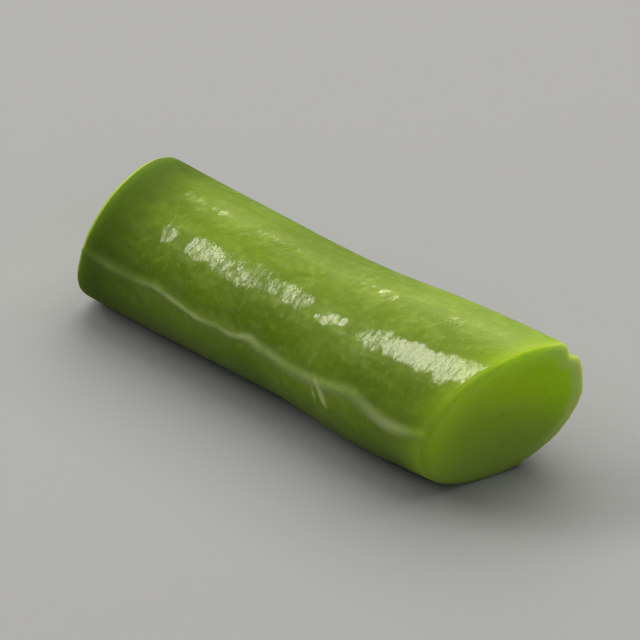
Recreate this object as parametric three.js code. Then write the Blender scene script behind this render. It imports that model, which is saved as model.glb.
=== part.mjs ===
// A cut length of green bean: one piece of pod with a knife cut at each end, lying on its side.
// Millimetres, +Z up. +X runs along the pod to its thicker cut end, and the floor is Z = 0.
// The origin is on the floor, under the middle of the pod.

import * as THREE from 'three';
import { mergeVertices } from 'three/addons/utils/BufferGeometryUtils.js';

// The pod's size.
const podLength = 29.8;       // along its middle, from cut to cut
const seamToSeam = 9.42;      // the wider way across, at the thinner end
const valveToValve = 9.17;    // the narrower way across, at the thinner end
const bendDepth = 0.25;       // how far the middle bows towards the front, -Y
const thickening = 0.55;      // what the radius gains towards the thicker end
const thickeningFrom = 0.2;   // X where the gain starts
const thickeningTo = 9.8;     // X where it is whole

// The two seams, as turns in degrees from straight up towards the front.
const frontSeamFarEnd = 80;
const frontSeamNearEnd = 89;
const backSeamFarEnd = -67;
const backSeamNearEnd = -41;
const ridgeHeight = 0.12;     // the fine raised line of the front seam
const ridgeHalfWidth = 3.5;   // degrees
const creaseDepth = 0.14;     // the shallow crease that the ridge lies in
const creaseHalfWidth = 13;   // degrees
const grooveDepth = 0.42;     // the groove of the back seam
const grooveHalfWidth = 8;    // degrees

// Swellings over the seeds, and hollows, which have a height below zero. Widths are in degrees.
const swellings = [
  { at: 8, turn: 120, height: 0.06, halfLength: 4, halfWidth: 60 },
  { at: -9.5, turn: 70, height: 0.08, halfLength: 4.5, halfWidth: 70 },
  { at: -13, turn: -40, height: 0.06, halfLength: 5, halfWidth: 50 },
  { at: -1.5, turn: -45, height: -0.04, halfLength: 5.5, halfWidth: 60 },
  { at: 16.5, turn: -26, height: 0.16, halfLength: 6, halfWidth: 15 },
  { at: 16, turn: -70, height: -0.52, halfLength: 10, halfWidth: 24 },
  { at: 16, turn: -102, height: -0.3, halfLength: 10, halfWidth: 24 },
];

// The knife cuts: how far each leans along X for every millimetre towards +Y and +Z.
const nearCut = { perY: 0.317, perZ: 0.312 };
const farCut = { perY: -0.082, perZ: 0.2175 };

// The cut faces.
const rimRoll = 0.42;         // radius of the softened edge between skin and cut
const wallShare = 0.74;       // where the firm outer flesh ends, as a share of the radius
const dishDepth = 0.22;       // how far the soft middle sinks behind the outer flesh
const slitDepth = 0.2;        // the closed slit between the two valves
const slitHalfLength = 0.42;  // share of the radius, along the line from seam to seam
const slitHalfWidth = 0.13;   // share of the radius, across that line

// Where it rests, and how fine the facets are.
const flatDepth = 0.34;       // how much of the underside the resting spot takes off
const supportFrom = 5;        // the level is set by the lowest points beyond this X, at either end
const levelPasses = 8;
const aroundSteps = 72;
const alongSteps = 36;
const rollSteps = 3;
const faceRings = [0, 0.2, 0.38, 0.56, 0.74, 0.88];
const seamCrowding = 0.25;    // draws the facets towards the seams, where the shape is finest

const halfLength = podLength / 2;
const blankRadius = (seamToSeam + valveToValve) / 4;
const radians = THREE.MathUtils.degToRad;

// 1 in the middle of a bump, falling smoothly away over its half-width.
function bump(distance, halfWidth) {
  return Math.exp(-((distance / halfWidth) ** 2));
}

// The shortest way round from one turn to another, in degrees.
function turnBetween(from, to) {
  return THREE.MathUtils.euclideanModulo(to - from + 180, 360) - 180;
}

// A seam's turn at X: the pod is slightly twisted, most of it towards the thicker end.
function seamAt(x, farEnd, nearEnd) {
  const share = THREE.MathUtils.clamp((x + halfLength) / podLength, 0, 1);
  return THREE.MathUtils.lerp(farEnd, nearEnd, share ** 2);
}

function frontSeam(x) {
  return seamAt(x, frontSeamFarEnd, frontSeamNearEnd);
}

function backSeam(x) {
  return seamAt(x, backSeamFarEnd, backSeamNearEnd);
}

// The plain oval of the pod, before its seams and swellings.
function ovalRadius(fromSeam) {
  const alongSeams = Math.cos(radians(fromSeam)) / (seamToSeam / 2);
  const acrossSeams = Math.sin(radians(fromSeam)) / (valveToValve / 2);
  return 1 / Math.hypot(alongSeams, acrossSeams);
}

function seamRelief(x, turn) {
  const fromFront = turnBetween(frontSeam(x), turn);
  const fromBack = turnBetween(backSeam(x), turn);
  const ridge = ridgeHeight * bump(fromFront, ridgeHalfWidth);
  const crease = creaseDepth * bump(fromFront, creaseHalfWidth);
  const groove = grooveDepth * bump(fromBack, grooveHalfWidth);
  return ridge - crease - groove;
}

function swelling(x, turn) {
  let height = thickening * THREE.MathUtils.smoothstep(x, thickeningFrom, thickeningTo);
  for (const s of swellings) {
    height += s.height * bump(x - s.at, s.halfLength) * bump(turnBetween(s.turn, turn), s.halfWidth);
  }
  return height;
}

// The skin's distance from the pod's middle line, at X and at a turn in degrees.
function skinRadius(x, turn) {
  return ovalRadius(turn - frontSeam(x)) + seamRelief(x, turn) + swelling(x, turn);
}

// How far a cut face stands behind the flat of its cut, at a share of the radius.
function faceRelief(share, fromSeam) {
  const dish = dishDepth * (1 - THREE.MathUtils.smoothstep(share, wallShare - 0.3, wallShare + 0.14));
  const alongSlit = share * Math.cos(radians(fromSeam)) / slitHalfLength;
  const acrossSlit = share * Math.sin(radians(fromSeam)) / slitHalfWidth;
  return dish + slitDepth * bump(Math.hypot(alongSlit, acrossSlit), 1);
}

// A round bar with softened ends, standing on Y: it starts and ends on its axis.
function podBlank() {
  const profile = [];
  for (const share of faceRings) {
    profile.push(new THREE.Vector2(share * blankRadius, -halfLength));
  }
  for (let i = 0; i <= rollSteps; i += 1) {
    const angle = (Math.PI / 2) * (i / rollSteps);
    const radius = blankRadius - rimRoll * (1 - Math.sin(angle));
    profile.push(new THREE.Vector2(radius, -halfLength + rimRoll * (1 - Math.cos(angle))));
  }
  const sideLength = podLength - 2 * rimRoll;
  for (let i = 1; i < alongSteps; i += 1) {
    profile.push(new THREE.Vector2(blankRadius, -sideLength / 2 + (sideLength * i) / alongSteps));
  }
  const farHalf = profile.slice(0, faceRings.length + rollSteps + 1);
  for (const point of farHalf.reverse()) {
    profile.push(new THREE.Vector2(point.x, -point.y));
  }
  return new THREE.LatheGeometry(profile, aroundSteps);
}

// Moves one point of the blank to its place on the pod.
function placeOnPod(point) {
  const alongPod = point.y;
  const share = Math.hypot(point.x, point.z) / blankRadius;
  const evenTurn = Math.atan2(point.x, point.z);
  const fromSeam = evenTurn - seamCrowding * Math.sin(2 * evenTurn);
  const turn = THREE.MathUtils.radToDeg(fromSeam) + frontSeam(alongPod);
  const radius = share * skinRadius(alongPod, turn);
  const bow = bendDepth * (1 - (alongPod / halfLength) ** 2);
  const y = -radius * Math.sin(radians(turn)) - bow;
  const z = radius * Math.cos(radians(turn));

  const onFace = THREE.MathUtils.smoothstep(Math.abs(alongPod), halfLength - rimRoll, halfLength);
  const sunk = onFace * faceRelief(share, THREE.MathUtils.radToDeg(fromSeam));
  const endShare = (alongPod + halfLength) / podLength;
  const farLean = farCut.perY * y + farCut.perZ * z;
  const nearLean = nearCut.perY * y + nearCut.perZ * z;
  const lean = THREE.MathUtils.lerp(farLean, nearLean, endShare);
  point.set(alongPod - Math.sign(alongPod) * sunk + lean, y, z);
}

// The lowest of the points beyond an X, on the side that the sign gives.
function lowestPoint(points, side) {
  const beyond = points.filter((p) => p.x * side > supportFrom);
  return beyond.reduce((low, p) => (p.z < low.z ? p : low));
}

// Levels the pod on its two ends' lowest points, flattens what touches the floor, and centres it.
function layDown(points) {
  for (let pass = 0; pass < levelPasses; pass += 1) {
    const near = lowestPoint(points, 1);
    const far = lowestPoint(points, -1);
    const slope = (near.z - far.z) / (near.x - far.x);
    points.forEach((p) => p.set(p.x, p.y, p.z - slope * p.x));
  }
  const floor = Math.min(...points.map((p) => p.z)) + flatDepth;
  points.forEach((p) => p.set(p.x, p.y, Math.max(p.z, floor)));
  const middle = new THREE.Box3().setFromPoints(points).getCenter(new THREE.Vector3());
  points.forEach((p) => p.set(p.x - middle.x, p.y - middle.y, p.z - floor));
}

// One closed skin: shared vertices joined, and the slivers at the two poles dropped.
function closedGeometry(geometry) {
  geometry.deleteAttribute('normal');
  geometry.deleteAttribute('uv');
  const merged = mergeVertices(geometry, 1e-4);
  const corners = merged.index.array;
  const kept = [];
  for (let i = 0; i < corners.length; i += 3) {
    const [a, b, c] = corners.slice(i, i + 3);
    if (a !== b && b !== c && c !== a) {
      kept.push(a, b, c);
    }
  }
  merged.setIndex(kept);
  return merged;
}

function podGeometry() {
  const geometry = closedGeometry(podBlank());
  const position = geometry.getAttribute('position');
  const points = [];
  for (let i = 0; i < position.count; i += 1) {
    const point = new THREE.Vector3().fromBufferAttribute(position, i);
    placeOnPod(point);
    points.push(point);
  }
  layDown(points);
  points.forEach((p, i) => position.setXYZ(i, p.x, p.y, p.z));
  geometry.computeVertexNormals();
  return geometry;
}

const podSkin = new THREE.MeshStandardMaterial({ color: 0x5f8f2c, roughness: 0.3, metalness: 0 });

const greenBean = new THREE.Mesh(podGeometry(), podSkin);
greenBean.name = 'green_bean';

const part = new THREE.Group();
part.add(greenBean);

export default part;
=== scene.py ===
import math

import bmesh
import bpy
from mathutils import Matrix, Vector, noise


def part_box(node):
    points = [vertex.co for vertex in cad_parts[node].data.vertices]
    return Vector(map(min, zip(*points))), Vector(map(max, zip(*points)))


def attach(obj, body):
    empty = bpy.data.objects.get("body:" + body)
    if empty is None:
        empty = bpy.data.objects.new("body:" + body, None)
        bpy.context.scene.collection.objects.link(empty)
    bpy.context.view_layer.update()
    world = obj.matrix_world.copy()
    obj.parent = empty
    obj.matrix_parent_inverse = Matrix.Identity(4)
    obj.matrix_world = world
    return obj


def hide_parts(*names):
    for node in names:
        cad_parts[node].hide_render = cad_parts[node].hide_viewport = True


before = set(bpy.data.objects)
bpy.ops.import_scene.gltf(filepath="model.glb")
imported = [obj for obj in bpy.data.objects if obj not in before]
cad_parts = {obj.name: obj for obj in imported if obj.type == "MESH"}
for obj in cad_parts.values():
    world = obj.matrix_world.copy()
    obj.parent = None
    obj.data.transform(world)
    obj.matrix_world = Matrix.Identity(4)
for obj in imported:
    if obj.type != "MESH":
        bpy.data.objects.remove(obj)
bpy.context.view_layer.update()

# A cut length of blanched green bean: wet skin, a seam along each side, a knife cut at each end.
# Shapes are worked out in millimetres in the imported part's own frame, then made metres.
mm = 0.001


def bump(distance, halfWidth):
    # 1 in the middle, falling smoothly away over the half-width
    return math.exp(-((distance / halfWidth) ** 2))


def smoothStep(value, start, end):
    share = min(max((value - start) / (end - start), 0.0), 1.0)
    return share * share * (3 - 2 * share)


def turnBetween(start, end):
    # the shortest way round from one turn to another, in degrees
    return (end - start + 180) % 360 - 180


def mix(a, b, share):
    return a + (b - a) * share


seedSteps = (17.3, 5.1, 9.7)


def grain(point, seed):
    # smooth noise from -1 to 1; each seed reads another part of it
    return noise.noise(Vector(point) + Vector([seed * step for step in seedSteps]))


# The pod, in millimetres and degrees. A turn is counted from straight up towards the front, -Y.
pod = {
    "length": 29.8,
    "seamToSeam": 9.42,
    "valveToValve": 9.17,
    "bow": 0.25,
    "thickening": 0.55,
    "thickeningFrom": 0.2,
    "thickeningTo": 9.8,
    "frontSeamFarEnd": 80,
    "frontSeamNearEnd": 89,
    "backSeamFarEnd": -67,
    "backSeamNearEnd": -41,
    "ridgeHeight": 0.12,
    "ridgeHalfWidth": 3.5,
    "creaseDepth": 0.14,
    "creaseHalfWidth": 13,
    "grooveDepth": 0.42,
    "grooveHalfWidth": 8,
    # over the seeds, and hollows: along, turn, height, half length, half width
    "swellings": [
        (8, 120, 0.06, 4, 60),
        (-9.5, 70, 0.08, 4.5, 70),
        (-13, -40, 0.06, 5, 50),
        (-1.5, -45, -0.04, 5.5, 60),
        (16.5, -26, 0.16, 6, 15),
        (16, -70, -0.52, 10, 24),
        (16, -102, -0.3, 10, 24),
    ],
    "nearCut": (0.317, 0.312),
    "farCut": (-0.082, 0.2175),
    "rimRoll": 0.42,
    "wallShare": 0.74,
    "dishDepth": 0.22,
    "slitDepth": 0.2,
    "slitHalfLength": 0.42,
    "slitHalfWidth": 0.13,
    "flatDepth": 0.34,
    "supportFrom": 5,
    "levelPasses": 8,
}

# What the skin and the cuts have besides the main shape, in millimetres.
podDetail = {
    "dentHeight": 0.045,
    "dentSize": 4.2,
    "ribHeight": 0.016,
    "ribSpacing": 1.1,
    "ribLength": 14,
    "crinkleHeight": 0.016,
    "crinkleSpacing": 0.5,
    "crinkleLength": 0.9,
    "crinkleSlant": 0.3,
    "crinkleSlantAt": 38,              # the turn where they slant most
    "crinklePatchLength": 3.1,
    "crinklePatchWidth": 2.4,
    "crinklePatchEdge": (-0.25, 0.3),  # where in the noise a patch starts, and where it is full
    "crinkleLeast": 0.25,              # the share that is left between the patches
    "poreHeight": 0.004,
    "poreSize": 0.26,
    # where the water film lies: along, turn, half length, half width, how smooth, how crinkled under it
    "wetPatches": [
        (-2.8, 37.5, 5.2, 12.5, 0.5, 1.0),
        (-6.5, 37, 1.5, 11, 0.66, 0.8),
        (0.6, 37, 1.4, 11.5, 0.58, 1.0),
        (4.5, 39, 1.0, 5, 0.66, 0.6),
        (3.5, 43, 1.0, 3, 0.6, 0.6),
        (5.4, 46, 0.8, 4, 0.45, 0.8),
        (7.6, 40, 1.6, 11, 0.56, 1.0),
        (10.6, 38, 3.0, 9.8, 0.84, 0.15),
        (12.9, 38, 0.9, 13, 0.84, 0.3),
        (13.9, 33.5, 2.3, 10, 0.84, 0.3),
        (-9.5, 37, 0.6, 8, 0.46, 1.0),
        (1.5, 54, 1.6, 6, 0.32, 1.0),
        (8.2, 54, 1.6, 5, 0.3, 1.0),
        (-10.3, 3, 1.0, 5, 0.4, 1.0),
        (-7.6, 4, 1.2, 5, 0.36, 1.0),
        (-3.0, 3, 2.4, 4, 0.32, 1.0),
        (3.4, 3, 0.8, 4, 0.32, 1.0),
        (5.1, 6, 1.2, 6, 0.44, 1.0),
        (9.6, 3, 1.4, 5, 0.34, 1.0),
        (-8, -62, 5.5, 14, 0.5, 1.0),
        (4.5, -80, 6, 12, 0.8, 0.4),
        (-4, -120, 6, 16, 0.5, 1.0),
        (8, 150, 5, 14, 0.8, 0.4),
    ],
    "patchRagged": 0.45,               # how far a wet patch's edge wanders, as a share of its size
    "patchRaggedSize": 1.1,
    "patchRaggedAround": 3.6,          # waves of that edge in the pod's radius
    "patchEdge": (0.6, 1.25),
    "patchReach": 0.8,                 # how far a patch's own crinkling carries
    "crinkledElsewhere": 0.6,
    # how the front seam wanders: along, half length, degrees
    "seamWaves": [
        (-8.4, 1.3, -3.0),
        (-4.4, 1.5, 3.0),
        (-1.9, 0.9, 2.0),
        (-0.5, 0.7, -2.5),
        (3.0, 2.4, 3.0),
        (8.4, 1.6, -5.5),
        (12.0, 1.4, 2.5),
        (14.8, 1.4, -3.0),
    ],
    # the pale stretches of the front seam: along, half length, how pale
    "seamRuns": [
        (-12.0, 1.8, 0.1),
        (-6.0, 2.8, 1.0),
        (-1.2, 1.8, 0.9),
        (2.0, 1.6, 0.3),
        (5.4, 1.4, 0.3),
        (8.6, 1.4, 0.1),
        (11.6, 2.0, 0.95),
    ],
    # fine slanting folds in the skin: along and turn at either end, half width, height
    "folds": [
        (5.3, 80, 7.3, 102, 0.22, 0.05),
        (5.2, 87, 6.3, 103, 0.14, 0.035),
        (4.5, 72, 4.8, 80, 0.1, 0.03),
        (2.6, -30, 5.2, -8, 0.3, 0.02),
        (-6.4, -74, -4.0, -100, 0.2, 0.02),
        (9.6, -128, 7.2, -152, 0.2, 0.02),
    ],
    "foldPaleness": 20,                # for each millimetre of a fold's height
    "edgeTurn": 40,                    # from the back seam to the middle of the skin's pale edge
    "knifeWave": 0.05,
    "knifeWaveSize": 1.9,
    "knifeWaveReach": 3,
    "knifeLine": 0.018,
    "knifeLineSpacing": 0.55,
    "knifeLineLength": 6,
    "knifeLineSlope": 0.5,
    "knifeLineEdge": (0.3, 0.8),       # shares of the radius where the lines start and are whole
    "fleshGrain": 0.016,
    "fleshGrainSize": 0.34,
    "fineGrainShare": 0.5,
    "fineGrainFiner": 2.3,
    "rimWave": 0.03,
    "rimWavesInRadius": 5.8,           # makes each wave of the rim about 0.8 mm long
    "rimWaveReach": 1.5,
    "fleshFrom": 0.25,                 # how far through the rim's roll, eased, the flesh starts
}

# Where in the noise each end of the pod, and each pattern on a cut, is read.
noisePlace = {
    "rimEnd": 3,
    "rim": 0.2,
    "knifeEnd": 2.5,
    "knifeLine": 0.3,
    "fleshGrain": 0.5,
    "fineGrain": 0.9,
}

# How finely the blank is divided.
blank = {
    "around": 240,
    "along": 250,
    "rollSegments": 6,
    "faceRings": 28,
    "innerRing": 0.3,
}

halfLength = pod["length"] / 2
blankRadius = (pod["seamToSeam"] + pod["valveToValve"]) / 4


def seamAt(x, name):
    # the turn of the front or the back seam, on a pod that is slightly twisted
    share = min(max((x + halfLength) / pod["length"], 0.0), 1.0)
    turn = mix(pod[name + "FarEnd"], pod[name + "NearEnd"], share**2)
    if name == "frontSeam":
        turn += sum(degrees * bump(x - at, long) for at, long, degrees in podDetail["seamWaves"])
    return turn


def ovalRadius(fromSeam):
    across = math.cos(math.radians(fromSeam)) / (pod["seamToSeam"] / 2)
    beside = math.sin(math.radians(fromSeam)) / (pod["valveToValve"] / 2)
    return 1 / math.hypot(across, beside)


def seamRelief(x, turn):
    fromFront = turnBetween(seamAt(x, "frontSeam"), turn)
    fromBack = turnBetween(seamAt(x, "backSeam"), turn)
    ridge = pod["ridgeHeight"] * bump(fromFront, pod["ridgeHalfWidth"])
    crease = pod["creaseDepth"] * bump(fromFront, pod["creaseHalfWidth"])
    groove = pod["grooveDepth"] * bump(fromBack, pod["grooveHalfWidth"])
    return ridge - crease - groove


def swelling(x, turn):
    height = pod["thickening"] * smoothStep(x, pod["thickeningFrom"], pod["thickeningTo"])
    for at, side, rise, halfLong, halfWide in pod["swellings"]:
        height += rise * bump(x - at, halfLong) * bump(turnBetween(side, turn), halfWide)
    return height


def skinRadius(x, turn):
    return ovalRadius(turn - seamAt(x, "frontSeam")) + seamRelief(x, turn) + swelling(x, turn)


def skinDetail(x, turn):
    # dents, long ribs over the fibres, the fine slanting crinkles of a cooked skin, pores
    angle = math.radians(turn)
    y, z = -blankRadius * math.sin(angle), blankRadius * math.cos(angle)
    d = podDetail
    height = d["dentHeight"] * grain((x / d["dentSize"], y / d["dentSize"], z / d["dentSize"]), 1)
    rib = (x / d["ribLength"], y / d["ribSpacing"], z / d["ribSpacing"])
    height += d["ribHeight"] * grain(rib, 2)
    fromSlant = angle - math.radians(d["crinkleSlantAt"])
    slanted = x + d["crinkleSlant"] * blankRadius * math.sin(fromSlant)
    long = d["crinkleLength"]
    crinkle = grain((slanted / d["crinkleSpacing"], y / long, z / long), 3)
    wide = d["crinklePatchWidth"]
    where = smoothStep(grain((x / d["crinklePatchLength"], y / wide, z / wide), 4), *d["crinklePatchEdge"])
    height += d["crinkleHeight"] * crinkle * mix(d["crinkleLeast"], 1.0, where)
    pore = (x / d["poreSize"], y / d["poreSize"], z / d["poreSize"])
    height += d["poreHeight"] * grain(pore, 5)
    for fold in d["folds"]:
        height += fold[5] * foldShare(fold, x, turn)
    return height


def foldShare(fold, x, turn):
    # 1 on the line of a fold, falling away over its half width, and fading at its two ends
    startAt, startTurn, endAt, endTurn, halfWidth = fold[:5]
    perDegree = math.radians(1) * blankRadius
    along, around = endAt - startAt, (endTurn - startTurn) * perDegree
    toX, toAround = x - startAt, turnBetween(startTurn, turn) * perDegree
    share = (toX * along + toAround * around) / (along**2 + around**2)
    if not 0 < share < 1:
        return 0.0
    away = math.hypot(toX - share * along, toAround - share * around)
    return bump(away, halfWidth) * math.sin(math.pi * share) ** 0.5


def wetness(x, turn):
    # how smoothly the water film lies and how crinkled the skin is under it, each from 0 to 1
    d = podDetail
    angle = math.radians(turn)
    waves = d["patchRaggedAround"]
    edge = (x / d["patchRaggedSize"], math.sin(angle) * waves, math.cos(angle) * waves)
    ragged = d["patchRagged"] * grain(edge, 11)
    # the total starts just above 0, so that it can be divided by
    wet, crinkled, total = 0.0, 0.0, 1e-6
    for at, side, halfLong, halfWide, smoothness, folded in d["wetPatches"]:
        away = math.hypot((x - at) / halfLong, turnBetween(side, turn) / halfWide)
        wet = max(wet, smoothness * (1 - smoothStep(away + ragged, *d["patchEdge"])))
        weight = bump(away, d["patchReach"])
        crinkled += folded * weight
        total += weight
    return wet, mix(d["crinkledElsewhere"], crinkled / total, min(total, 1.0))


def faceRelief(share, fromSeam):
    wall = pod["wallShare"]
    dish = pod["dishDepth"] * (1 - smoothStep(share, wall - 0.3, wall + 0.14))
    along = share * math.cos(math.radians(fromSeam)) / pod["slitHalfLength"]
    beside = share * math.sin(math.radians(fromSeam)) / pod["slitHalfWidth"]
    return dish + pod["slitDepth"] * bump(math.hypot(along, beside), 1)


def faceDetail(y, z, share):
    # the knife's fine lines and the flesh's wet grain
    d = podDetail
    size = d["fleshGrainSize"]
    slope, finer = d["knifeLineSlope"], d["fineGrainFiner"]
    acrossLine = (y * slope + z) / d["knifeLineSpacing"]
    alongLine = (z * slope - y) / d["knifeLineLength"]
    line = grain((noisePlace["knifeLine"], acrossLine, alongLine), 6)
    height = d["knifeLine"] * line * smoothStep(share, *d["knifeLineEdge"])
    height += d["fleshGrain"] * grain((y / size, z / size, noisePlace["fleshGrain"]), 7)
    fine = (y / size * finer, z / size * finer, noisePlace["fineGrain"])
    height += d["fineGrainShare"] * d["fleshGrain"] * grain(fine, 8)
    return height


def layDown(points):
    # level on the lowest points beyond either end of the middle, flatten what touches, centre on the part
    far = pod["supportFrom"]
    for _ in range(pod["levelPasses"]):
        nearLow = min((p for p in points if p.x > far), key=lambda p: p.z)
        farLow = min((p for p in points if p.x < -far), key=lambda p: p.z)
        slope = (nearLow.z - farLow.z) / (nearLow.x - farLow.x)
        for p in points:
            p.z -= slope * p.x
    floorLevel = min(p.z for p in points) + pod["flatDepth"]
    for p in points:
        p.z = max(p.z, floorLevel) - floorLevel
    cadLow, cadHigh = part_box("green_bean")
    for axis in (0, 1):
        middle = (min(p[axis] for p in points) + max(p[axis] for p in points)) / 2
        shift = (cadLow[axis] + cadHigh[axis]) / 2 / mm - middle
        for p in points:
            p[axis] += shift


def makeBlank(bm):
    # a round bar along X: rolled rims, rings on both cut faces, rows along the side
    bmesh.ops.create_cone(
        bm, cap_ends=True, cap_tris=False, segments=blank["around"],
        radius1=blankRadius, radius2=blankRadius, depth=pod["length"],
    )
    caps = [f for f in bm.faces if len(f.verts) > 4]
    rims = [e for f in caps for e in f.edges]
    bmesh.ops.bevel(
        bm, geom=rims, offset=pod["rimRoll"], offset_type="OFFSET",
        segments=blank["rollSegments"], profile=0.5, affect="EDGES", material=-1,
    )
    ringWidth = (blankRadius - pod["rimRoll"] - blank["innerRing"]) / blank["faceRings"]
    for cap in [f for f in bm.faces if len(f.verts) > 4]:
        for _ in range(blank["faceRings"]):
            bmesh.ops.inset_individual(bm, faces=[cap], thickness=ringWidth, use_even_offset=True)
        bmesh.ops.poke(bm, faces=[cap])
    sides = [e for e in bm.edges if e.calc_length() > pod["length"] / 2]
    bmesh.ops.subdivide_edges(bm, edges=sides, cuts=blank["along"] - 1, use_grid_fill=True)
    bmesh.ops.rotate(bm, verts=bm.verts, matrix=Matrix.Rotation(math.radians(90), 3, "Y"))


def sortFaces(bm):
    # the insets list some faces in another order on each run, so their three lowest vertices, which
    # no two faces share, put them in one order
    bm.verts.index_update()
    count = len(bm.verts)

    def place(face):
        first, second, third = sorted(v.index for v in face.verts)[:3]
        return (first * count + second) * count + third

    bm.faces.sort(key=place)


def makePod():
    bm = bmesh.new()
    makeBlank(bm)
    sortFaces(bm)
    layers = bm.verts.layers.float
    cutShare = layers.new("cutShare")      # 0 on the skin, 1 on a cut face
    faceShare = layers.new("faceShare")    # 0 in the middle of a cut face, 1 at the skin
    fromCut = layers.new("fromCut")        # millimetres from the nearer cut, along the skin
    seamTurn = layers.new("seamTurn")      # degrees from the front seam
    pastBack = layers.new("pastBack")      # degrees from the middle of the skin's pale edge
    alongPod = layers.new("alongPod")      # millimetres along the pod from its middle
    wetFilm = layers.new("wetFilm")        # 0 where the skin is dull, 1 where the water lies smooth
    crinkled = layers.new("crinkled")      # how strongly the skin is crinkled
    foldLine = layers.new("foldLine")      # 1 on the fine slanting folds
    seamPale = layers.new("seamPale")      # how pale the front seam is here

    d = podDetail
    points = []
    for v in bm.verts:
        along, side = v.co.x, math.hypot(v.co.y, v.co.z)
        share = side / blankRadius
        fromSeam = math.degrees(math.atan2(-v.co.y, v.co.z))
        turn = fromSeam + seamAt(along, "frontSeam")
        onFace = smoothStep(abs(along), halfLength - pod["rimRoll"], halfLength)
        end = 1 if along > 0 else -1

        angle = math.radians(turn)
        waves = d["rimWavesInRadius"]
        endShift = end * noisePlace["rimEnd"]
        around = (math.sin(angle) * waves + endShift, math.cos(angle) * waves, noisePlace["rim"])
        nearRim = smoothStep(abs(along), halfLength - d["rimWaveReach"], halfLength)
        rimWave = d["rimWave"] * grain(around, 9) * nearRim
        radius = share * (skinRadius(along, turn) + rimWave + (1 - onFace) * skinDetail(along, turn))
        y = -radius * math.sin(angle) - pod["bow"] * (1 - (along / halfLength) ** 2)
        z = radius * math.cos(angle)

        endShare = (along + halfLength) / pod["length"]
        farLean = pod["farCut"][0] * y + pod["farCut"][1] * z
        nearLean = pod["nearCut"][0] * y + pod["nearCut"][1] * z
        size = d["knifeWaveSize"]
        wave = d["knifeWave"] * grain((y / size, z / size, end * noisePlace["knifeEnd"]), 10)
        wave *= smoothStep(abs(along), halfLength - d["knifeWaveReach"], halfLength)
        sunk = onFace * (faceRelief(share, fromSeam) + faceDetail(y, z, share))
        x = along - end * sunk + mix(farLean, nearLean, endShare) + wave
        points.append(Vector((x, y, z)))

        v[cutShare] = onFace
        v[faceShare] = share
        v[fromCut] = halfLength - abs(along)
        v[seamTurn] = abs(fromSeam)
        v[pastBack] = abs(turnBetween(seamAt(along, "backSeam") - d["edgeTurn"], turn))
        v[alongPod] = along
        v[wetFilm], v[crinkled] = wetness(along, turn)
        v[foldLine] = max(d["foldPaleness"] * fold[5] * foldShare(fold, along, turn) for fold in d["folds"])
        v[seamPale] = max(pale * bump(along - at, long) for at, long, pale in d["seamRuns"])
    layDown(points)
    for v, p in zip(bm.verts, points):
        v.co = p * mm

    for f in bm.faces:
        f.smooth = True
        onCut = sum(v[cutShare] for v in f.verts) / len(f.verts)
        f.material_index = 1 if onCut > d["fleshFrom"] else 0
    bmesh.ops.recalc_face_normals(bm, faces=bm.faces)
    mesh = bpy.data.meshes.new("green_bean_pod")
    bm.to_mesh(mesh)
    bm.free()
    piece = bpy.data.objects.new("green_bean_pod", mesh)
    bpy.context.scene.collection.objects.link(piece)
    return piece


def linear(hexColour):
    # sRGB hex to the linear colour that the shaders use
    values = [int(hexColour[i : i + 2], 16) / 255 for i in (1, 3, 5)]
    return [v / 12.92 if v <= 0.04045 else ((v + 0.055) / 1.055) ** 2.4 for v in values] + [1.0]


def addNode(tree, kind, settings=None, links=None):
    # a node with its own settings; links gives each of its inputs a socket, a value or a hex colour
    node = tree.nodes.new("ShaderNode" + kind)
    for name, value in (settings or {}).items():
        setattr(node, name, value)
    for name, source in (links or {}).items():
        socket = node.inputs[name]
        if isinstance(source, bpy.types.NodeSocket):
            tree.links.new(source, socket)
        else:
            socket.default_value = linear(source) if isinstance(source, str) else source
    return node


def newMaterial(name):
    material = bpy.data.materials.new(name)
    material.use_nodes = True
    material.node_tree.nodes.clear()
    return material, material.node_tree


def readSources(tree, look):
    # what the layers read: the place, the numbers that the mesh carries, and the look's noise patterns
    sources = {"position": addNode(tree, "TexCoord").outputs["Object"]}
    for name in look["carried"]:
        sources[name] = addNode(tree, "Attribute", {"attribute_name": name}).outputs["Fac"]
    for name, (size, stretch, detail, rough, slant) in look["patterns"].items():
        slanted = addNode(tree, "Mapping", {}, {"Vector": sources["position"], "Rotation": slant})
        scaled = addNode(tree, "Mapping", {}, {
            "Vector": slanted.outputs["Vector"], "Scale": [1 / (size * mm * s) for s in stretch]})
        pattern = addNode(tree, "TexNoise", {}, {
            "Vector": scaled.outputs["Vector"], "Scale": 1.0, "Detail": detail, "Roughness": rough})
        sources[name] = pattern.outputs["Fac"]
    return sources


def multiplied(tree, sources, ranges):
    # each source, eased from one value to another between two limits if it has them, times the next one
    product = None
    for source, *limits in ranges:
        part = sources[source]
        if limits:
            links = dict(zip(("From Min", "From Max", "To Min", "To Max"), limits), Value=part)
            eased = addNode(tree, "MapRange", {"interpolation_type": "SMOOTHSTEP"}, links)
            part = eased.outputs["Result"]
        if product is not None:
            part = addNode(tree, "Math", {"operation": "MULTIPLY"}, {0: product, 1: part}).outputs["Value"]
        product = part
    return product


def addLayers(tree, sources, colour, colours, layers):
    # lays one colour over the next, each as far as its ranges let it show
    for name, *ranges in layers:
        shown = multiplied(tree, sources, ranges)
        layer = addNode(tree, "Mix", {"data_type": "RGBA"}, {"Factor": shown, 6: colour, 7: colours[name]})
        colour = layer.outputs[2]
    return colour


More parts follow.
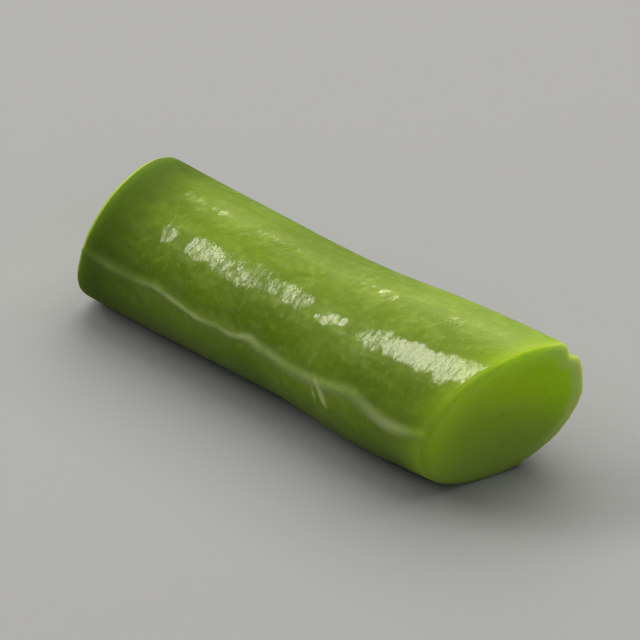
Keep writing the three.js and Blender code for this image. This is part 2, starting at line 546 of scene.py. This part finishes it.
skinLook = {
    # painted shade: the colour of the thin end's shadow and of the underside
    "paintedShade": "#3e5208",
    "deep": "#5c7611",
    "mid": "#6c8714",
    "light": "#94b13c",
    "paintedSheen": "#a6b964",
    "seam": "#a8b87a",
    "nearCut": "#86a412",
    "paintedTopSheen": "#b0cc60",
    "rim": "#a0c03c",
    "farCut": "#46600c",
    "skinEdgeAndHighlight": "#b4c070",
    "skinIor": 1.38,
    "skinSpecular": 0.2,
    "filmIor": 1.5,
    "filmRoughness": 0.14,
    "poreDepth": 0.006,
    "crinkleDepth": 0.1,
    "subsurface": 0.55,
    "subsurfaceScale": 0.0011,
    "subsurfaceRadius": (0.8, 1.0, 0.25),
    "carried": (
        "alongPod", "seamTurn", "pastBack", "fromCut", "foldLine", "seamPale", "wetFilm", "crinkled"),
    # millimetres of one blotch, how far it is drawn out along X, Y and Z, detail, roughness, slant;
    # real cells and pores are finer, and are drawn this coarse so that they show
    "patterns": {
        "blotches": (5.0, (1.6, 1, 1), 3.0, 0.5, (0, 0, 0)),         # soft patches of ripeness
        "fibres": (0.75, (14, 1, 1), 3.0, 0.5, (0, 0, 0)),           # strands along the pod
        "clouds": (0.9, (1.6, 1, 1), 3.0, 0.5, (0, 0, 0)),           # where the painted soft sheen of the crinkled cuticle lies, in pale clouds
        "mottle": (0.45, (1, 1, 1), 3.0, 0.5, (0, 0, 0)),            # cells seen through the cuticle
        "seamBreaks": (0.7, (2, 1, 1), 3.0, 0.5, (0, 0, 0)),         # gaps in the seam's fine line
        "crinkles": (0.42, (1, 1.8, 1.8), 3.0, 0.55, (0, 0.35, 0.3)),   # of a cooked skin
        "puddles": (0.42, (1, 2.2, 2.2), 4.0, 0.62, (0, 0.35, 0.3)),    # what breaks up the water
        "pores": (0.12, (1, 1, 1), 2.0, 0.5, (0, 0, 0)),
    },
    "ripeness": ("blotches", 0.32, 0.66, 0, 1),    # from deep to mid green
    "shadeRagged": 6.0,                            # millimetres that the blotches move the thin end's painted shade
    "seamWidth": ("alongPod", -3, 1, 1, 0.42),     # the seam's fine line widens towards the thick end
    "nearEnd": ("alongPod", 2, 8, 0, 1),
    "roughness": ("alongPod", -12, -8, 0.75, 0.48),
    "puddleShare": 1.6,
    "thinFilm": ("film", 1.05, 1.35, 0, 0.36),     # lets the skin's own colour through
    "fullDrops": ("film", 1.28, 1.48, 0, 0.5),     # stand on the thin film
    "filmLimit": ("wetFilm", 0.02, 0.14, 0, 1),
    # a colour, then one or more sources, each with two limits and its value at either of them
    "layers": [
        ("light", ("fibres", 0.5, 0.85, 0, 0.25)),
        # a painted soft sheen of the crinkled skin, in pale clouds
        ("paintedSheen", ("clouds", 0.44, 0.8, 0, 0.22)),
        ("light", ("mottle", 0.5, 0.75, 0, 0.3)),
        ("light", ("alongPod", 0, 14, 0, 0.12)),
        # away from the front seam: a painted sheen towards the thick end and painted shade in the thin half
        ("paintedTopSheen", ("seamTurn", 74, 88, 0, 1), ("alongPod", 3, 9, 0, 0.16)),
        ("deep", ("seamTurn", 72, 92, 0, 1), ("alongPod", -1, 3, 0.3, 0)),
        # painted shade: a painted shadow over the thin end, darker low down near the floor, and a little
        # darker in the lower half towards the thin end; a height is in metres
        ("paintedShade", ("raggedAlong", -10.6, -6.6, 0.95, 0)),
        ("paintedShade", ("height", 0, 0.006, 0.95, 0)),
        ("paintedShade", ("height", 0.0045, 0.0085, 0.45, 0), ("alongPod", -13, 0, 1, 0)),
        # a thin wavy line along the front seam, broken here and there, in a wider faint band
        ("seam", ("seamTurn", 0, 9, 0.5, 0), ("alongPod", -6, 4, 0.2, 0.6)),
        ("seam", ("seamLineTurn", 0.4, 3.1, 0.9, 0), ("seamBreaks", 0.34, 0.6, 0.6, 1), ("seamPale",)),
        ("seam", ("foldLine", 0.25, 0.85, 0, 0.9)),
        # a painted glow by the cuts, as of light through their thin edges: yellower at the thick end's cut,
        # only a little paler at the thin end's, within its painted shade
        ("cut", ("fromCut", 0.2, 2.4, 0.75, 0)),
        # a painted highlight along the rolled rim by each cut, strongest at the thick end
        ("rim", ("fromCut", 0.1, 1.1, 0.4, 0), ("alongPod", 2, 8, 0.4, 1)),
        # the skin's own pale edge with a painted highlight on it, round the back of the thick end's cut
        ("skinEdgeAndHighlight", ("pastBack", 25, 60, 0.7, 0), ("fromCut", 0.2, 0.5, 1, 0), ("alongPod", 2, 8, 0, 1)),
    ],
}


def makeSkin():
    # Blanched bean skin: a thin waxy cuticle, wet and finely crinkled, over soft flesh that lets
    # light through. The eye gets a broken gloss over a mid green, with painted shade at the thin end
    # and low down, and a painted glow that makes it yellower by the thick end's cut.
    material, tree = newMaterial("blanched_pod_skin")
    look = skinLook
    sources = readSources(tree, look)
    height = addNode(tree, "SeparateXYZ", {}, {"Vector": sources["position"]})
    sources["height"] = height.outputs["Z"]
    ragged = addNode(tree, "Math", {"operation": "MULTIPLY_ADD"}, {
        0: sources["blotches"], 1: look["shadeRagged"], 2: sources["alongPod"]})
    sources["raggedAlong"] = ragged.outputs["Value"]
    sources["seamLineTurn"] = multiplied(tree, sources, [("seamTurn",), look["seamWidth"]])

    cut = addNode(tree, "Mix", {"data_type": "RGBA"}, {
        "Factor": multiplied(tree, sources, [look["nearEnd"]]), 6: look["farCut"], 7: look["nearCut"]})
    ripeness = addNode(tree, "Mix", {"data_type": "RGBA"}, {
        "Factor": multiplied(tree, sources, [look["ripeness"]]), 6: look["deep"], 7: look["mid"]})
    colours = dict(look, cut=cut.outputs[2])
    body = addLayers(tree, sources, ripeness.outputs[2], colours, look["layers"])

    # the water: a thin film with fuller drops, only where the mesh says that it is wet
    film = addNode(tree, "Math", {"operation": "MULTIPLY_ADD"}, {
        0: sources["puddles"], 1: look["puddleShare"], 2: sources["wetFilm"]})
    sources["film"] = film.outputs["Value"]
    thinFilm = multiplied(tree, sources, [look["thinFilm"]])
    fullDrops = multiplied(tree, sources, [look["fullDrops"]])
    water = addNode(tree, "Math", {"operation": "ADD"}, {0: thinFilm, 1: fullDrops})
    sources["water"] = water.outputs["Value"]

    sources["raised"] = multiplied(tree, sources, [("crinkles",), ("crinkled",)])
    fine = addNode(tree, "Bump", {}, {
        "Height": sources["pores"], "Distance": look["poreDepth"] * mm, "Strength": 1.0})
    surface = addNode(tree, "Bump", {}, {
        "Height": sources["raised"], "Distance": look["crinkleDepth"] * mm, "Strength": 1.0,
        "Normal": fine.outputs["Normal"]})

    shader = addNode(tree, "BsdfPrincipled", {"subsurface_method": "RANDOM_WALK"}, {
        "Base Color": body,
        "Roughness": multiplied(tree, sources, [look["roughness"]]),
        "IOR": look["skinIor"],
        "Specular IOR Level": look["skinSpecular"],
        "Coat Weight": multiplied(tree, sources, [("water",), look["filmLimit"]]),
        "Coat Roughness": look["filmRoughness"],
        "Coat IOR": look["filmIor"],
        "Coat Normal": surface.outputs["Normal"],
        "Normal": surface.outputs["Normal"],
        "Subsurface Weight": look["subsurface"],
        "Subsurface Scale": look["subsurfaceScale"],
        "Subsurface Radius": look["subsurfaceRadius"],
    })
    addNode(tree, "OutputMaterial", {}, {"Surface": shader.outputs["BSDF"]})
    return material


fleshLook = {
    "rim": "#8aa634",
    "ring": "#88a628",
    "underRing": "#8cac2c",
    "disc": "#8cac32",
    "slit": "#7e9a32",
    "glow": "#b0d420",
    "paintedBackGlow": "#a8d800",
    "rimGlow": "#bcd454",
    "rimShade": "#6e8a20",
    "dullCellsAndShade": "#84a048",
    "farCut": "#8ea44a",
    "farWall": "#66841c",
    "skinEdgeAndHighlight": "#b4c070",
    "ior": 1.35,
    "specular": 0.06,
    "rough": 0.3,
    "cellDepth": 0.03,
    "subsurface": 0.85,
    "subsurfaceScale": 0.0016,
    "subsurfaceRadius": (0.8, 1.0, 0.25),
    "carried": ("alongPod", "faceShare", "pastBack"),
    # millimetres of one blotch, how far it is drawn out along X, Y and Z, detail, roughness, slant;
    # the cells are drawn coarser than real ones, so that they show
    "patterns": {
        "cells": (0.3, (1, 1, 1), 4.0, 0.5, (0, 0, 0)),
        "veins": (1.1538, (1, 1, 1), 3.0, 0.5, (0, 0, 0)),
    },
    "raggedRings": 0.09,       # how far the cells move the rings' edges, as a share of the radius
    # rings from the middle of the cut outwards, at shares of the radius
    "rings": [
        (0.0, "slit"), (0.14, "disc"), (0.68, "disc"), (0.86, "underRing"), (0.95, "ring"), (1.0, "rim")],
    # ways across the cut, each 1 at about 10 mm that way from the floor's middle
    "ways": {
        "upwards": (0, -10, 100),
        "upAndBack": (0, 70, 73),
        "forwards": (0, -100, 0),
    },
    # a colour, then one or more sources, each with two limits and its value at either of them
    "layers": [
        # painted light: a glow as if light came through from above, brightest at the top and at the back,
        # and painted shade low down
        ("glow", ("upwards", 0.35, 1, 0, 0.9)),
        ("paintedBackGlow", ("upAndBack", 0.3, 0.7, 0, 0.8)),
        ("glow", ("forwards", 0.15, 0.5, 0, 0.3)),
        ("dullCellsAndShade", ("upwards", 0.5, 0, 0, 0.85)),
        ("rimShade", ("ringShare", 0.93, 1.04, 0, 0.45)),
        # at the thin end's cut, the firm wall under the skin is greener than the soft middle
        ("farCut", ("alongPod", 5, -5, 0, 0.75)),
        ("farWall", ("ringShare", 0.66, 0.88, 0, 0.6), ("alongPod", 5, -5, 0, 1)),
        # the rim glows softly where it stands highest
        ("rimGlow", ("ringShare", 0.7, 1, 0, 0.35), ("upwards", 0.4, 0.95, 0, 1)),
        ("dullCellsAndShade", ("cells", 0.45, 0.75, 0, 0.16)),
        ("farCut", ("veins", 0.45, 0.72, 0, 0.1)),
        # the skin's own pale edge with a painted highlight on it, round the back of the thick end's cut
        ("skinEdgeAndHighlight",
         ("ringShare", 0.8, 0.92, 0, 1), ("pastBack", 30, 85, 0.8, 0), ("alongPod", -5, 5, 0, 1)),
    ],
}


def makeFlesh():
    # Freshly cut cooked flesh: wet, translucent, yellow-green under the skin and paler in the middle.
    # The eye gets a painted glow at the top of the cut, painted shade low down, and a thin pale rim that is
    # partly a painted highlight.
    material, tree = newMaterial("cut_pod_flesh")
    look = fleshLook
    sources = readSources(tree, look)
    ragged = addNode(tree, "Math", {"operation": "MULTIPLY_ADD"}, {
        0: sources["cells"], 1: look["raggedRings"], 2: sources["faceShare"]})
    sources["ringShare"] = ragged.outputs["Value"]
    for name, way in look["ways"].items():
        across = addNode(tree, "VectorMath", {"operation": "DOT_PRODUCT"}, {0: sources["position"], 1: way})
        sources[name] = across.outputs["Value"]

    rings = addNode(tree, "ValToRGB", {}, {"Fac": sources["ringShare"]})
    rings.color_ramp.interpolation = "EASE"
    stops = rings.color_ramp.elements
    while len(stops) < len(look["rings"]):
        stops.new(0.5)
    for stop, (place, name) in zip(stops, look["rings"]):
        stop.position = place
        stop.color = linear(look[name])
    flesh = addLayers(tree, sources, rings.outputs["Color"], look, look["layers"])

    surface = addNode(tree, "Bump", {}, {
        "Height": sources["cells"], "Distance": look["cellDepth"] * mm, "Strength": 1.0})
    shader = addNode(tree, "BsdfPrincipled", {"subsurface_method": "RANDOM_WALK"}, {
        "Base Color": flesh,
        "Roughness": look["rough"],
        "IOR": look["ior"],
        "Specular IOR Level": look["specular"],
        "Normal": surface.outputs["Normal"],
        "Subsurface Weight": look["subsurface"],
        "Subsurface Scale": look["subsurfaceScale"],
        "Subsurface Radius": look["subsurfaceRadius"],
    })
    addNode(tree, "OutputMaterial", {}, {"Surface": shader.outputs["BSDF"]})
    return material


studio = {
    "floorColour": "#9b9da2",
    "floorRadius": 1.2,
    "floorRoughness": 0.9,
    "floorSpecular": 0.05,
    "beanHeight": 0.005,       # what the lamps point at, in metres above the floor
    "worldColour": "#f4f6f8",
    "worldStrength": 0.08,
    "softboxColour": "#fffbee",
    "glossColour": "#fff4cc",
    # name, direction from the bean, distance, width, height, radiance, and what it makes
    "softboxes": [
        ("keySoftbox", (-0.62, -0.38, 0.68), 0.45, 0.26, 0.15, 8.0, "both"),
        ("glossStrip", (-0.62, -0.375, 0.69), 0.44, 0.34, 0.16, 3.0, "gloss"),
        ("ridgeStrip", (-0.56, 0.61, 0.56), 0.45, 0.14, 0.4, 9.5, "gloss"),
        ("backGlossStrip", (0.35, 0.75, 0.56), 0.5, 0.16, 0.55, 8.0, "gloss"),
        ("topSoftbox", (-0.1, 0.38, 0.91), 0.5, 0.6, 0.7, 2.9, "light"),
        ("fillSoftbox", (0.8, -0.45, 0.4), 0.6, 0.4, 0.3, 1.3, "both"),
    ],
}


def makeStudio():
    bm = bmesh.new()
    bmesh.ops.create_circle(bm, cap_ends=True, segments=96, radius=studio["floorRadius"])
    mesh = bpy.data.meshes.new("studio_floor")
    bm.to_mesh(mesh)
    bm.free()
    floor = bpy.data.objects.new("studio_floor", mesh)
    bpy.context.scene.collection.objects.link(floor)
    material, tree = newMaterial("pale_floor")
    shader = addNode(tree, "BsdfPrincipled", {}, {
        "Base Color": studio["floorColour"], "Roughness": studio["floorRoughness"],
        "Specular IOR Level": studio["floorSpecular"]})
    addNode(tree, "OutputMaterial", {}, {"Surface": shader.outputs["BSDF"]})
    mesh.materials.append(material)

    world = bpy.data.worlds.new("studio")
    world.use_nodes = True
    background = world.node_tree.nodes["Background"]
    background.inputs["Color"].default_value = linear(studio["worldColour"])
    background.inputs["Strength"].default_value = studio["worldStrength"]
    bpy.context.scene.world = world

    for name, direction, distance, width, height, radiance, makes in studio["softboxes"]:
        lamp = bpy.data.lights.new(name, "AREA")
        lamp.shape = "RECTANGLE"
        lamp.size, lamp.size_y = width, height
        lamp.energy = radiance * math.pi * width * height
        lamp.color = linear(studio["glossColour" if makes == "gloss" else "softboxColour"])[:3]
        box = bpy.data.objects.new(name, lamp)
        toward = Vector(direction).normalized()
        box.location = Vector((0, 0, studio["beanHeight"])) + toward * distance
        # its width lies across the pod, so that the gloss runs along the pod in one even band
        across = toward.cross(Vector((1, 0, 0))).normalized()
        turned = Matrix((across, toward.cross(across), toward)).transposed()
        box.rotation_mode = "QUATERNION"
        box.rotation_quaternion = turned.to_quaternion()
        box.visible_diffuse = makes != "gloss"
        box.visible_glossy = makes != "light"
        bpy.context.scene.collection.objects.link(box)


cameraView = {
    "azimuth": 43,
    "elevation": 34.5,
    "distance": 1.0,
    "frameWidth": 0.0365,      # metres across the view, at the bean
    "aim": (0.0, 0.0, 0.00504),
    "clip": (0.01, 10),
}


def makeCamera():
    a, e = math.radians(cameraView["azimuth"]), math.radians(cameraView["elevation"])
    back = Vector((math.sin(a) * math.cos(e), -math.cos(a) * math.cos(e), math.sin(e)))
    data = bpy.data.cameras.new("camera")
    data.lens = data.sensor_width * cameraView["distance"] / cameraView["frameWidth"]
    data.clip_start, data.clip_end = cameraView["clip"]
    camera = bpy.data.objects.new("camera", data)
    camera.location = Vector(cameraView["aim"]) + back * cameraView["distance"]
    camera.rotation_mode = "QUATERNION"
    camera.rotation_quaternion = (-back).to_track_quat("-Z", "Y")
    bpy.context.scene.collection.objects.link(camera)
    bpy.context.scene.camera = camera


makeStudio()
makeCamera()
print("studio and camera ready")

bean = makePod()
print("pod made:", len(bean.data.polygons), "faces")
bean.data.materials.append(makeSkin())
bean.data.materials.append(makeFlesh())
print("skin and flesh ready")
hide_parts("green_bean")
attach(bean, "root")
print("pod finished")

bpy.context.scene.view_settings.view_transform = "Standard"
